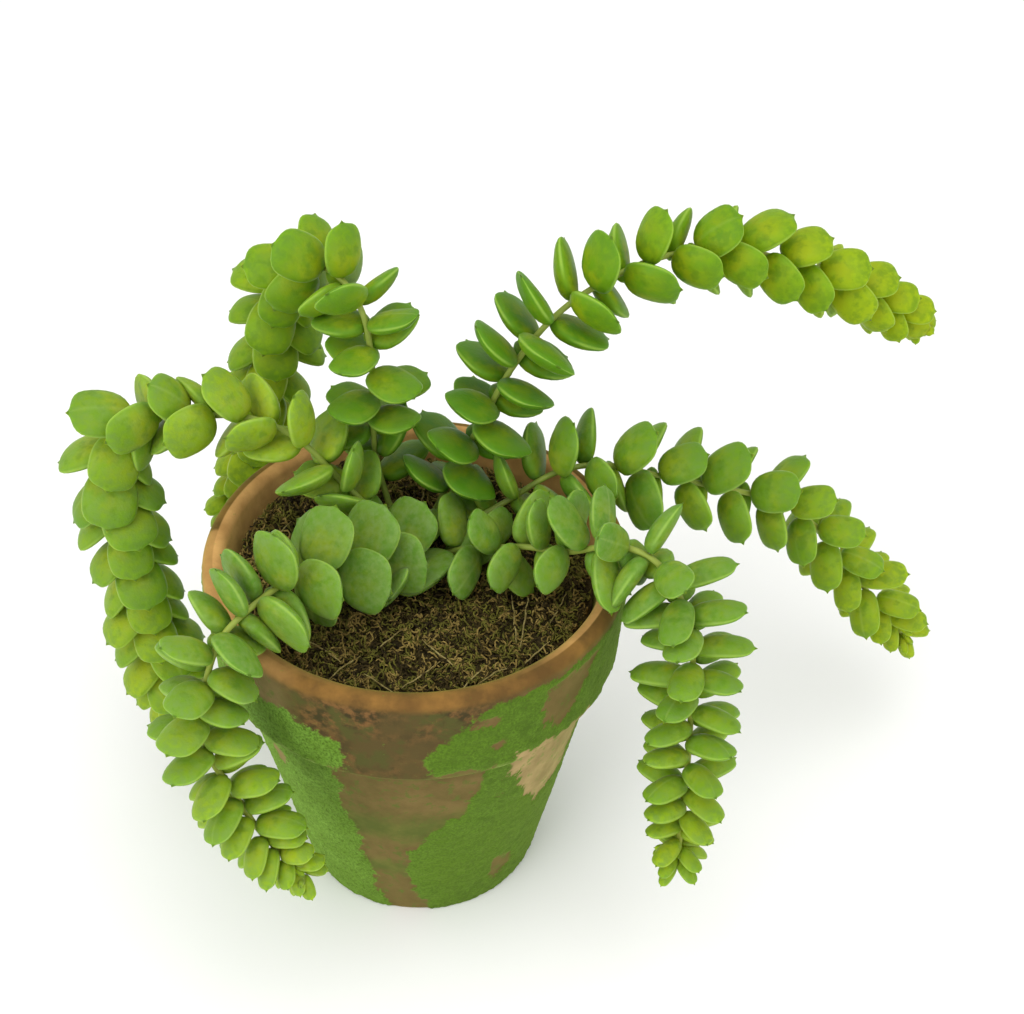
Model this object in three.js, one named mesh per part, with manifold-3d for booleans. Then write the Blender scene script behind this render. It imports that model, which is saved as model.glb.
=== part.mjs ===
// A trailing burro's tail succulent in a small clay pot.
// Six leafy stems leave the middle of the pot, arch over its rim and hang down around it.
// Millimetres, +Z up. The surface that the pot stands on is z = 0, and the origin is the middle of
// the ground that pot and stems cover together. Seen from the front, the viewer looks along +Y.

import * as THREE from "three";
import { mergeVertices } from "three/addons/utils/BufferGeometryUtils.js";
import Module from "manifold-3d";

const wasm = await Module();
wasm.setup();

// Driving dimensions
const POT = {
  height: 98,
  rimRadius: 50, // the collar's outside, just under the lip
  collarFootRadius: 48.5,
  collarHeight: 26.7,
  bodyTopRadius: 45,
  baseRadius: 30.3,
  wall: 5.3,
  floor: 7,
  lipRound: 2.4,
  edgeRound: 1,
  drainRadius: 5.5,
  sides: 40,
};
const FIT_GAP = 0.4; // between pieces that rest on or in each other
const SOIL_TOP = 80;
const MOSS = { edgeHeight: 88.4, moundHeight: 90.4, bump: 0.4, sides: 30, rings: 5 };
// The moss bed's lumps are waves: [radians per millimetre along X, along Y, start].
const MOSS_WAVES = [[0.21, 0.26, 0.9], [0.21, -0.26, 1.7], [0.37, -0.37, 0]];
const STEM = { radius: 1.25, sides: 5, stepLength: 10, rootEnd: 62, holeRadius: 1.9 };
const UPRIGHT = [STEM.rootEnd, 77, 91.5]; // heights of the straight foot of a stem, in its hole
const LEAF = { length: 13.4, width: 11.2, thickness: 4.8, bend: 0.06, rootOut: 0.6, pairSpacing: 6 };
const LEAF_GAP = 0.5; // kept between a leaf and every other piece

// Towards a stem's tip, the leaves get smaller and closer together and close into a bud. The shares
// are counted from the first leaf.
const TIP = { smallFrom: 0.8, smaller: 0.5, closer: 0.7, budFrom: 0.9, budOpening: 26 };

// How much leaves differ by chance, to either side: in size, in degrees and in place along the stem.
const VARY = { size: 0.06, around: 12, opening: 8, place: 0.6 };

// Each stem leaves the moss at `from`, on the pot's own axes, and arches off towards `heading`, in
// degrees from +X. Its route is a list of [out, up, aside]: how far it has gone along its heading,
// its height, and how far it has swung to the left of that heading.
// The other lists hold values at even shares of the stem, from its first leaf to its tip: `open` is
// the angle between leaf and stem and `roll` the turn of the leaf pairs about it, both in degrees,
// `size` is how large the leaves are and `wide` how much wider than usual.
const STEMS = [
  {
    name: "stem_front_left", heading: 226, from: [-2, 2], seed: 11,
    open: [98, 104, 96, 96, 84], roll: [75, 99, 82, 119, 129],
    size: [1.16, 1.12, 0.98, 0.94, 0.86], wide: [1.2, 1.16, 0.88, 0.8, 0.8],
    route: [[4, 97, 0], [14, 101, 0], [25, 107, 0], [37, 112, 0], [49, 112, 0], [58, 107, -1],
      [64, 92, -1.3], [65.8, 80.5, 1], [64.5, 71, 6], [62.3, 58.5, 12.5], [58, 47, 21]],
  },
  {
    name: "stem_front_right", heading: -30, from: [5.5, 2], seed: 23,
    open: [86, 92, 98, 98, 88], roll: [79, 82, 18, -22, -27],
    size: [0.98, 0.98, 0.96, 0.92, 0.86], wide: [1, 0.96, 0.86, 0.82, 0.8],
    route: [[4, 97, 0], [12, 101, 0], [22, 106, 0], [33, 109, 0], [45, 116, 0], [55, 115, 0],
      [62, 105, 0], [66, 93, -2], [68, 80, -5], [70, 66, -9], [71.5, 50, -13], [73, 34.6, -18]],
  },
  {
    name: "stem_left", heading: 182, from: [-5, 8], seed: 31,
    open: [74, 52, 60, 54, 50], roll: [128, 97, 93, 106, 104],
    size: [1, 1.02, 1, 0.98, 0.92], wide: [1, 1, 1.06, 1.04, 1],
    route: [[3, 100, 0], [12.1, 112.4, -0.8], [21.4, 123.5, -3.1], [32.8, 128.1, -6.2],
      [45.3, 126, -10.1], [54.7, 126.2, -12.4], [61.9, 120, -14], [65.9, 107, -14],
      [64.9, 86, -13.3], [61.9, 57.6, -12.8], [56.6, 13.7, -12]],
  },
  {
    name: "stem_right", heading: 12, from: [8, 8], seed: 41,
    open: [80, 72, 62, 62, 54], roll: [72, 80, 40, 30, 45],
    size: [0.98, 1, 1, 0.96, 0.88], wide: [1, 1.04, 1.06, 1, 0.98],
    route: [[4, 97, 0], [15, 103, 0], [26, 109, 0], [38, 109, 0], [54, 102, 0], [70, 95, 0],
      [86, 87, 0], [98, 75, 0], [110, 57, 0], [122, 39, 0], [133, 24, 0]],
  },
  {
    name: "stem_back_right", heading: 20, from: [3, 14], seed: 53,
    open: [82, 88, 64, 50, 42], roll: [-15, -6, -7, -25, -32],
    size: [0.98, 1, 1, 0.96, 0.88], wide: [1.04, 1.04, 1.04, 1, 1],
    route: [[3, 99, 0], [8, 110, 0], [14, 122, -1], [20, 135, -2], [30, 148, -3], [43, 155, -3],
      [59, 158, -3], [77, 155, -3], [97, 144.5, -3], [119, 130, -3], [136, 116, -3]],
  },
  {
    name: "stem_back_left", heading: 130, from: [-4, 14], seed: 67,
    open: [88, 90, 60, 50, 46], roll: [76, 83, 40, 47, 37],
    size: [1, 0.98, 0.98, 0.96, 0.9], wide: [0.92, 0.95, 0.98, 0.98, 0.98],
    route: [[4, 99, 0], [8, 111, 0], [8, 125, 0], [8, 139, 0], [11, 151, 0], [21, 156, 0],
      [34, 150, 0], [44, 134, 0], [48, 110, 0], [54, 84, 3], [60, 60, 10]],
  },
];

// Solids and meshes

// A geometry as a manifold-3d solid, its shared vertices merged.
function solidOf(geometry) {
  const bare = new THREE.BufferGeometry().setAttribute("position", geometry.getAttribute("position"));
  bare.setIndex(geometry.getIndex());
  const merged = mergeVertices(bare, 1e-3);
  const mesh = new wasm.Mesh({
    numProp: 3,
    vertProperties: new Float32Array(merged.getAttribute("position").array),
    triVerts: new Uint32Array(merged.getIndex().array),
  });
  return new wasm.Manifold(mesh);
}

// A manifold-3d solid as a geometry. Only its largest body is kept.
function geometryOf(solid) {
  const bodies = solid.decompose();
  const whole = bodies.reduce((a, b) => (a.volume() > b.volume() ? a : b));
  const mesh = whole.getMesh();
  const geometry = new THREE.BufferGeometry();
  geometry.setAttribute("position", new THREE.BufferAttribute(mesh.vertProperties, 3));
  geometry.setIndex(new THREE.BufferAttribute(mesh.triVerts, 1));
  geometry.computeVertexNormals();
  return geometry;
}

function named(name, geometry, material) {
  const mesh = new THREE.Mesh(geometry, material);
  mesh.name = name;
  return mesh;
}

// A solid turned about the Z axis from a closed outline of [radius, height] points.
function turned(outline, sides) {
  const points = outline.map(([radius, height]) => new THREE.Vector2(radius, height));
  points.push(points[0].clone());
  return new THREE.LatheGeometry(points, sides).rotateX(Math.PI / 2);
}

// Points of a quarter-round corner, from one angle to another in degrees.
function corner(centreRadius, centreHeight, radius, fromDegrees, toDegrees, steps) {
  return Array.from({ length: steps + 1 }, (_, i) => {
    const angle = THREE.MathUtils.degToRad(fromDegrees + ((toDegrees - fromDegrees) * i) / steps);
    return [centreRadius + radius * Math.cos(angle), centreHeight + radius * Math.sin(angle)];
  });
}

// The clay pot

const clay = new THREE.MeshStandardMaterial({ color: 0xb5753f, roughness: 0.9, metalness: 0 });
const COLLAR_FOOT = POT.height - POT.collarHeight;

function potOuterRadius(height) {
  if (height > COLLAR_FOOT) {
    const share = (height - COLLAR_FOOT) / POT.collarHeight;
    return POT.collarFootRadius + (POT.rimRadius - POT.collarFootRadius) * share;
  }
  return POT.baseRadius + (POT.bodyTopRadius - POT.baseRadius) * (height / COLLAR_FOOT);
}

// The inside tapers straight from the lip to the floor, one wall in from the body.
const BORE_TOP_RADIUS = POT.rimRadius - POT.wall;
const BORE_FLOOR_RADIUS = potOuterRadius(POT.floor) - POT.wall;
function potInnerRadius(height) {
  const share = (height - POT.floor) / (POT.height - POT.floor);
  return BORE_FLOOR_RADIUS + (BORE_TOP_RADIUS - BORE_FLOOR_RADIUS) * share;
}

function makePot() {
  const lip = POT.lipRound;
  const edge = POT.edgeRound;
  const outline = [
    [POT.drainRadius, 0],
    ...corner(POT.baseRadius - edge, edge, edge, -90, 0, 2),
    [POT.bodyTopRadius, COLLAR_FOOT],
    ...corner(POT.collarFootRadius - edge, COLLAR_FOOT + edge, edge, -90, 0, 2),
    ...corner(POT.rimRadius - lip, POT.height - lip, lip, 0, 90, 3),
    ...corner(BORE_TOP_RADIUS + lip, POT.height - lip, lip, 90, 180, 2),
    [BORE_FLOOR_RADIUS, POT.floor],
    [POT.drainRadius, POT.floor],
  ];
  return named("pot", turned(outline, POT.sides), clay);
}

// What fills the pot: potting mix, and a topping of dried moss

const earth = new THREE.MeshStandardMaterial({ color: 0x3a2a1c, roughness: 1, metalness: 0 });
const driedMoss = new THREE.MeshStandardMaterial({ color: 0x6b5a32, roughness: 1, metalness: 0 });

// The moss is heaped a little in the middle and lies in soft lumps.
function mossHeight(x, y) {
  const out = Math.min(1, Math.hypot(x, y) / BORE_TOP_RADIUS);
  const mound = MOSS.edgeHeight + (MOSS.moundHeight - MOSS.edgeHeight) * (1 - out * out);
  const lumps = MOSS_WAVES.map(([perX, perY, start]) => Math.sin(x * perX + y * perY + start));
  return mound + MOSS.bump * lumps.reduce((a, b) => a + b);
}

// The straight holes that the stems stand in.
function stemHoles(fromHeight, toHeight) {
  return STEMS.map(({ from: [x, y] }) => {
    const hole = new THREE.CylinderGeometry(STEM.holeRadius, STEM.holeRadius, toHeight - fromHeight, 8);
    hole.rotateX(Math.PI / 2).translate(x, y, (fromHeight + toHeight) / 2);
    return solidOf(hole);
  });
}

function makePottingMix() {
  const bottom = POT.floor + FIT_GAP;
  const outline = [
    [0, bottom],
    [potInnerRadius(bottom) - FIT_GAP, bottom],
    [potInnerRadius(SOIL_TOP) - FIT_GAP, SOIL_TOP],
    [0, SOIL_TOP],
  ];
  let mix = solidOf(turned(outline, MOSS.sides));
  const holes = stemHoles(STEM.rootEnd - FIT_GAP, SOIL_TOP + 1);
  for (const hole of holes) mix = mix.subtract(hole);
  return named("potting_mix", geometryOf(mix), earth);
}

function makeMoss() {
  const bottom = SOIL_TOP + FIT_GAP;
  const outline = [[0, bottom], [potInnerRadius(bottom) - FIT_GAP, bottom]];
  for (let ring = MOSS.rings; ring >= 0; ring--) {
    const radius = (potInnerRadius(MOSS.edgeHeight) - FIT_GAP) * (ring / MOSS.rings);
    outline.push([radius, MOSS.edgeHeight]);
  }
  const geometry = turned(outline, MOSS.sides);
  const place = geometry.getAttribute("position");
  for (let i = 0; i < place.count; i++) {
    const isTop = place.getZ(i) > bottom + 1;
    if (isTop) place.setZ(i, mossHeight(place.getX(i), place.getY(i)));
  }
  let moss = solidOf(geometry);
  for (const hole of stemHoles(SOIL_TOP - 1, MOSS.moundHeight + 4)) moss = moss.subtract(hole);
  return named("moss_topping", geometryOf(moss), driedMoss);
}

// The stems and how their leaves are set

// Draws between -1 and 1, the same on every run.
function drawsFrom(seed) {
  let state = seed;
  return () => {
    state = (state * 16807) % 2147483647;
    return (2 * state) / 2147483647 - 1;
  };
}

function stemCurve({ heading, from: [x, y], route }) {
  const angle = THREE.MathUtils.degToRad(heading);
  const start = UPRIGHT.map((height) => new THREE.Vector3(x, y, height));
  const arch = route.map(([out, up, aside]) =>
    new THREE.Vector3(
      x + out * Math.cos(angle) - aside * Math.sin(angle),
      y + out * Math.sin(angle) + aside * Math.cos(angle),
      up,
    ));
  return new THREE.CatmullRomCurve3([...start, ...arch], false, "catmullrom", 0.5);
}

// The value at a share of the stem, from a list of values at even shares.
function alongStem(values, share) {
  const place = share * (values.length - 1);
  const before = Math.min(values.length - 2, Math.floor(place));
  return values[before] + (values[before + 1] - values[before]) * (place - before);
}

// How large the young leaves are near a stem's tip.
function tipSize(share) {
  const tip = Math.max(0, (share - TIP.smallFrom) / (1 - TIP.smallFrom));
  return 1 - TIP.smaller * tip * tip;
}

// The angle between leaf and stem in degrees.
function leafOpening(stem, share) {
  const bud = Math.max(0, (share - TIP.budFrom) / (1 - TIP.budFrom));
  return THREE.MathUtils.lerp(alongStem(stem.open, share), TIP.budOpening, bud * bud);
}

// Spheres that fill a leaf, as [share of its length, share of its half width, radius as a share
// of its thickness]. They show what a leaf would touch.
const LEAF_BEADS = [
  [0.26, -0.4, 0.4], [0.26, 0.4, 0.4], [0.52, -0.56, 0.46], [0.52, 0, 0.5], [0.52, 0.56, 0.46],
  [0.78, -0.5, 0.4], [0.78, 0, 0.46], [0.78, 0.5, 0.4], [0.95, 0, 0.26],
];

function beadsOf(leaf) {
  return LEAF_BEADS.map(([along, across, radius]) => ({
    at: leafPoint(leaf, along, across, 0),
    radius: radius * leaf.thickness,
  }));
}

// A point of a leaf: its share of the length, and its shares of half the width and thickness.
function leafPoint(leaf, along, across, through) {
  const bend = LEAF.bend * leaf.length * along * along;
  return leaf.base.clone()
    .addScaledVector(leaf.forward, along * leaf.length)
    .addScaledVector(leaf.side, (across * leaf.width) / 2)
    .addScaledVector(leaf.face, (through * leaf.thickness) / 2 + bend);
}

// A leaf at a share of the whole stem's length. `around` and `opening` are in degrees.
function leafAt(stem, at, around, opening, size, wide) {
  const [turn, lean] = [around, opening].map(THREE.MathUtils.degToRad);
  const heading = THREE.MathUtils.degToRad(stem.heading);
  const along = stem.curve.getTangentAt(at);
  const left = new THREE.Vector3(-Math.sin(heading), Math.cos(heading), 0);
  left.addScaledVector(along, -left.dot(along)).normalize();
  const over = new THREE.Vector3().crossVectors(along, left);
  const radial = over.multiplyScalar(Math.cos(turn)).addScaledVector(left, Math.sin(turn));
  return {
    base: stem.curve.getPointAt(at).addScaledVector(radial, LEAF.rootOut),
    forward: along.clone().multiplyScalar(Math.cos(lean)).addScaledVector(radial, Math.sin(lean)),
    side: new THREE.Vector3().crossVectors(along, radial),
    face: along.clone().multiplyScalar(Math.sin(lean)).addScaledVector(radial, -Math.cos(lean)),
    length: LEAF.length * size,
    width: LEAF.width * size * wide,
    thickness: LEAF.thickness * (0.3 + 0.7 * size),
  };
}

// Whether a sphere is clear of the pot and the moss, on the pot's own axes.
function clearOfPot({ at, radius }) {
  const gap = radius + LEAF_GAP;
  const out = Math.hypot(at.x, at.y);
  if (at.z > POT.height + gap) return true;
  if (at.z < gap) return false;
  if (out > potOuterRadius(Math.min(at.z + gap, POT.height)) + gap) return true;
  return out < BORE_TOP_RADIUS - gap && at.z > mossHeight(at.x, at.y) + gap;
}

function clearOfBeads(beads, others) {
  return beads.every((bead) => others.every((other) =>
    bead.at.distanceTo(other.at) > bead.radius + other.radius + LEAF_GAP));
}

// Ways to turn, raise or shrink a leaf that would touch something, tried in this order.
const LEAF_SHIFTS = [];
for (const shrink of [1, 0.85, 0.7]) {
  for (const lift of [0, -20, 20, -40]) {
    for (const swing of [0, 24, -24, 48, -48]) LEAF_SHIFTS.push([swing, lift, shrink]);
  }
}

// All stems with their leaves, which stand in pairs, each pair crosswise to the last. A leaf that
// can't be set clear of the other pieces is left out.
function setLeaves() {
  const stems = STEMS.map((stem) => {
    const curve = stemCurve(stem);
    const length = curve.getLength();
    const steps = Math.round(length / STEM.radius);
    const beads = curve.getSpacedPoints(steps).map((at) => ({ at, radius: STEM.radius }));
    return { ...stem, curve, length, beads, leaves: [] };
  });
  for (const stem of stems) {
    const draw = drawsFrom(stem.seed);
    const others = stems.filter((other) => other !== stem).flatMap((other) => other.beads);
    const first = (MOSS.moundHeight + LEAF.thickness / 2 - STEM.rootEnd) / stem.length;
    let at = first;
    for (let pair = 0; at < 1; pair++) {
      const share = (at - first) / (1 - first);
      const roll = alongStem(stem.roll, share) + 90 * pair;
      const wide = alongStem(stem.wide, share);
      for (const side of [0, 180]) {
        const size = alongStem(stem.size, share) * tipSize(share) * (1 + VARY.size * draw());
        const around = roll + side + VARY.around * draw();
        const opening = leafOpening(stem, share) + VARY.opening * draw();
        const place = Math.min(1, at + (VARY.place * draw()) / stem.length);
        for (const [swing, lift, shrink] of LEAF_SHIFTS) {
          const leaf = leafAt(stem, place, around + swing, opening + lift, size * shrink, wide);
          const beads = beadsOf(leaf);
          if (beads.every(clearOfPot) && clearOfBeads(beads, others)) {
            stem.leaves.push(leaf);
            break;
          }
        }
      }
      at += (LEAF.pairSpacing * (1 - TIP.closer * (1 - tipSize(share)))) / stem.length;
    }
    stem.beads.push(...stem.leaves.flatMap(beadsOf));
  }
  return stems;
}

// A leaf's solid is a ball drawn out to a leaf: a root at the stem's middle, two rings of five
// corners and a point. A ring is [share of the length, share of the half width and thickness],
// and a corner's angle is counted from one edge of the leaf.
const LEAF_RINGS = [[0.26, 0.92], [0.74, 0.95]];
const LEAF_CORNERS = [0, 90, 180, 240, 300];

function leafSolid(leaf) {
  const ball = new THREE.SphereGeometry(1, LEAF_CORNERS.length, LEAF_RINGS.length + 1);
  const place = ball.getAttribute("position");
  for (let i = 0; i < place.count; i++) {
    const [x, y, z] = [place.getX(i), place.getY(i), place.getZ(i)];
    const isRing = Math.hypot(x, z) > 1e-6;
    const [along, wide] = isRing ? LEAF_RINGS[y > 0 ? 0 : 1] : [y > 0 ? 0 : 1, 0];
    const turn = Math.atan2(z, -x) / (2 * Math.PI) + 1;
    const corner = LEAF_CORNERS[Math.round(turn * LEAF_CORNERS.length) % LEAF_CORNERS.length];
    const angle = THREE.MathUtils.degToRad(corner);
    const point = leafPoint(leaf, along, -wide * Math.cos(angle), wide * Math.sin(angle));
    place.setXYZ(i, point.x, point.y, point.z);
  }
  return solidOf(ball);
}

const leafGreen = new THREE.MeshStandardMaterial({ color: 0x79a63a, roughness: 0.5, metalness: 0 });

function makeStem(stem) {
  const section = new THREE.Shape(Array.from({ length: STEM.sides }, (_, i) => {
    const angle = (2 * Math.PI * i) / STEM.sides;
    return new THREE.Vector2(STEM.radius * Math.cos(angle), STEM.radius * Math.sin(angle));
  }));
  const tube = new THREE.ExtrudeGeometry(section, {
    steps: Math.round(stem.length / STEM.stepLength),
    extrudePath: stem.curve,
    bevelEnabled: false,
  });
  const parts = [solidOf(tube), ...stem.leaves.map(leafSolid)];
  return named(stem.name, geometryOf(wasm.Manifold.union(parts)), leafGreen);
}

// The whole plant, moved so that the origin is the middle of its footprint

const plant = new THREE.Group();
plant.add(makePot(), makePottingMix(), makeMoss());
for (const stem of setLeaves()) plant.add(makeStem(stem));

const middle = new THREE.Box3().setFromObject(plant).getCenter(new THREE.Vector3());
plant.position.set(-middle.x, -middle.y, 0);

export default plant;
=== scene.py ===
# A trailing burro's tail succulent in a mossy clay pot, made ready to render.
# Each section works in millimetres on the pot's own axes, with the pot's axis at x = y = 0 and the
# ground at z = 0. A finished piece is scaled to metres and moved to its place in the frame.

import math
import random

import bmesh
import bpy
from mathutils import Matrix, Quaternion, Vector, kdtree, noise


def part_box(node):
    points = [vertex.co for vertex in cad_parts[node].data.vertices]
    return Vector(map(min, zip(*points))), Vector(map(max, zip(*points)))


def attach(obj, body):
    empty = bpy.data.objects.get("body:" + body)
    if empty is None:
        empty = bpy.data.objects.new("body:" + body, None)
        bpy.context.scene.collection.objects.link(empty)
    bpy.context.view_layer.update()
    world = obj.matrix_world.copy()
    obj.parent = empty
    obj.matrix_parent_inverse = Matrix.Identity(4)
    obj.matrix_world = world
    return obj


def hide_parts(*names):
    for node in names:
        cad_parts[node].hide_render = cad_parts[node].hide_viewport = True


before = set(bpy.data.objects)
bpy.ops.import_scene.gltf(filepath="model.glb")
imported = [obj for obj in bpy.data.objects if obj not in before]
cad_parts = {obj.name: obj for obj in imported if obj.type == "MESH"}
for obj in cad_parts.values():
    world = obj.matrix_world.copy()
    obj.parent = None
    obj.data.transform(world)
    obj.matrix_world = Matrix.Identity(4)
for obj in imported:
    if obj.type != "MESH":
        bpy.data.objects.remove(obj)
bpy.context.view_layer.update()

# The pot
# A small flower pot of low-fired terracotta, pressed in one piece with a deep collar and a round
# lip. Short moss has grown over its outside, and the clay shows where the moss has come away.

MM = 0.001
pot_low, pot_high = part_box("pot")
POT_PLACE = Vector(((pot_low[0] + pot_high[0]) / 2, (pot_low[1] + pot_high[1]) / 2, 0))
POT_HEIGHT = pot_high[2] / MM
RIM_RADIUS = (pot_high[0] - pot_low[0]) / 2 / MM
COLLAR_FOOT = POT_HEIGHT - 26.7
COLLAR_FOOT_RADIUS = RIM_RADIUS - 1.5
BODY_TOP_RADIUS = RIM_RADIUS - 5
BASE_RADIUS = 30.3
POT_WALL = 5.3
POT_FLOOR = 7
BORE_TOP_RADIUS = RIM_RADIUS - POT_WALL
BORE_FLOOR_RADIUS = BASE_RADIUS + (BODY_TOP_RADIUS - BASE_RADIUS) * POT_FLOOR / COLLAR_FOOT - POT_WALL
DRAIN_RADIUS = 5.5
LIP_ROUND = 2.5
EDGE_ROUND = 1
POT_SIDES = 300
WALL_STEP = 0.9  # height of a band of faces on the outside
INNER_STEP = 6  # and on the inside, most of which the filling hides
MOSS_COAT = 0.5  # how far the moss stands off the clay

# Places where the clay shows: outlines of [degrees to the right of the front, height]
BARE_CLAY = [
    [(-68, 97), (-66, 84), (-54, 83), (-46, 85.5), (-37, 87), (-31, 85), (-27, 83), (-21.5, 81.5),
     (-20, 76), (-21, 70), (0.5, 70), (2, 78), (4, 82), (9, 86), (11.5, 90.5), (15, 92.5), (19, 95),
     (32, 97)],
    [(-27, 73), (-27, 60), (-28, 48), (-24.5, 40), (-24, 30), (-21.6, 17), (-22, 9), (-16, -2),
     (6, -2), (-3.3, 9.4), (-6.4, 20), (-4.8, 28), (2, 40), (12.7, 49), (17.6, 60), (20, 73)],
    [(27, 73), (28, 60), (33, 58), (35, 52), (45.7, 38), (53, 39), (63, 41), (66, 58), (70, 73)],
    [(35, 83), (33.5, 88), (38, 91.5), (44, 93), (54, 92), (50, 87), (46, 80), (41, 76.5), (37, 79)],
    [(31, 7.5), (31.7, 18), (38, 18.5), (44, 17), (41, 10), (35, 7)],
    [(14, 88), (16, 89.3), (25.6, 90.8), (25, 89.3)],
    [(17.5, 79), (18.5, 81), (22.5, 80.5), (21.5, 79)],
    [(24, 52), (25, 54.2), (29.5, 53.5), (28, 52)],
    [(-54, 53), (-54.5, 58), (-51, 57.5), (-50.5, 54)],
    [(120, 97), (118, 86), (130, 80), (142, 70), (160, 70), (170, 82), (186, 88), (190, 97)],
    [(138, 73), (142, 55), (150, 40), (156, 22), (152, -2), (176, -2), (170, 20), (178, 44),
     (190, 58), (196, 73)],
    [(242, 40), (248, 62), (256, 58), (254, 38), (250, 24)],
]
DAMP_CLAY = (0, 9)  # of these, the dark and mottled ones
DUSTY_CLAY = (2, 11)  # and the pale ones
DRY_SIDE = (-30, -44)  # to the left of this the clay is drier and paler, in degrees
FAR_FROM_PATCH = 8  # beyond this, a patch has no bearing on a point
GREEN_BANDS = [(69, 4), (42, 11), (22, 5)]  # a thin green film on the clay: [height, how far it reaches]


def linear(colour):
    """An sRGB hex colour as linear RGBA."""
    shares = [int(colour[i:i + 2], 16) / 255 for i in (1, 3, 5)]
    return [c / 12.92 if c <= 0.04045 else ((c + 0.055) / 1.055) ** 2.4 for c in shares] + [1.0]


def add_node(tree, kind, inputs=(), **settings):
    """Adds a node, changes its settings, and gives its inputs values or links from other sockets."""
    node = tree.nodes.new(kind)
    for name, value in settings.items():
        setattr(node, name, value)
    for name, value in dict(inputs).items():
        if isinstance(value, bpy.types.NodeSocket):
            tree.links.new(value, node.inputs[name])
        else:
            node.inputs[name].default_value = value
    return node


def new_material(name):
    """A material with an empty node tree."""
    material = bpy.data.materials.new(name)
    material.use_nodes = True
    material.node_tree.nodes.clear()
    return material, material.node_tree


def smooth_step(low, high, value):
    share = min(1, max(0, (value - low) / (high - low)))
    return share * share * (3 - 2 * share)


def filled_in(points, step):
    """The points, with others between them so that no two lie further apart than the step."""
    result = [points[0]]
    for (r0, z0), (r1, z1) in zip(points, points[1:]):
        count = max(1, math.ceil(math.hypot(r1 - r0, z1 - z0) / step))
        shares = [i / count for i in range(1, count + 1)]
        result += [(r0 + (r1 - r0) * share, z0 + (z1 - z0) * share) for share in shares]
    return result


def corner(radius_at, height_at, radius, start, end, steps):
    """Points of a round corner, from one angle to another in degrees."""
    angles = [math.radians(start + (end - start) * i / steps) for i in range(steps + 1)]
    return [(radius_at + radius * math.cos(a), height_at + radius * math.sin(a)) for a in angles]


def spin_round(bm, outline, sides, closed):
    """Spins an outline of (radius, height) points about the pot's axis."""
    verts = [bm.verts.new((r, 0, z)) for r, z in outline]
    pairs = list(zip(verts, verts[1:]))
    if closed:
        pairs.append((verts[-1], verts[0]))
    edges = [bm.edges.new(pair) for pair in pairs]
    bmesh.ops.spin(bm, geom=verts + edges, cent=(0, 0, 0), axis=(0, 0, 1), angle=2 * math.pi,
                   steps=sides, use_merge=True)
    bmesh.ops.remove_doubles(bm, verts=bm.verts, dist=1e-4)


def finish_piece(name, bm, *materials):
    """Makes a built shape an object: faces outward and smooth, in metres, at its place in the frame."""
    bmesh.ops.recalc_face_normals(bm, faces=bm.faces)
    bmesh.ops.scale(bm, vec=(MM, MM, MM), verts=bm.verts)
    bmesh.ops.translate(bm, vec=POT_PLACE, verts=bm.verts)
    mesh = bpy.data.meshes.new(name)
    bm.to_mesh(mesh)
    bm.free()
    mesh.shade_smooth()
    for material in materials:
        mesh.materials.append(material)
    piece = bpy.data.objects.new(name, mesh)
    bpy.context.collection.objects.link(piece)
    return piece


def distance_outside(outline, across, up):
    """How far a point lies outside an outline. Inside it, the distance to its edge is negative."""
    far = max(min(x for x, _ in outline) - across, across - max(x for x, _ in outline))
    if far > FAR_FROM_PATCH:
        return far
    nearest = math.inf
    inside = False
    for (x0, y0), (x1, y1) in zip(outline, outline[1:] + outline[:1]):
        reach = (x1 - x0) ** 2 + (y1 - y0) ** 2
        share = min(1, max(0, ((across - x0) * (x1 - x0) + (up - y0) * (y1 - y0)) / reach))
        gap = math.hypot(across - x0 - (x1 - x0) * share, up - y0 - (y1 - y0) * share)
        nearest = min(nearest, gap)
        if (y0 > up) != (y1 > up) and across < x0 + (x1 - x0) * (up - y0) / (y1 - y0):
            inside = not inside
    return -nearest if inside else nearest


MM_PER_DEGREE = math.radians(BODY_TOP_RADIUS)
BARE_OUTLINES = [[(angle * MM_PER_DEGREE, z) for angle, z in outline] for outline in BARE_CLAY]


def weathering(point):
    """The shares of moss, damp clay, dusty clay, green film and painted edge highlight at a point of the pot's
    outside.
    """
    angle = math.degrees(math.atan2(point.x, -point.y))
    if angle < -100:
        angle += 360
    ragged = 2.2 * noise.noise(point * 0.16) + 1.6 * noise.noise(point * 0.42)
    ragged += 1.1 * noise.noise(point * 0.95)
    gaps = [distance_outside(outline, angle * MM_PER_DEGREE, point.z) for outline in BARE_OUTLINES]
    moss = smooth_step(-1.3, 1.1, min(gaps) + ragged)
    moss *= 1 - smooth_step(-1.2, -0.4, point.z - POT_HEIGHT + LIP_ROUND + 0.4 * ragged)
    dry_side = smooth_step(*DRY_SIDE, angle)
    damp = 1 - smooth_step(-1, 3, min(gaps[i] for i in DAMP_CLAY) + ragged)
    damp *= 1 - dry_side
    dust_and_painted_light = 1 - smooth_step(-1, 3, min(gaps[i] for i in DUSTY_CLAY) + ragged)
    dust_and_painted_light = max(dust_and_painted_light, 0.6 * dry_side)
    film = max(1 - smooth_step(0, reach, abs(point.z - height) + ragged) for height, reach in GREEN_BANDS)
    # A pale band along the collar's lower edge: a painted highlight, where the edge catches the light.
    edge_highlight = 1 - smooth_step(0.4, 1.4, abs(point.z - COLLAR_FOOT) + 0.4 * ragged)
    return moss, damp, dust_and_painted_light, film, edge_highlight


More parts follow.
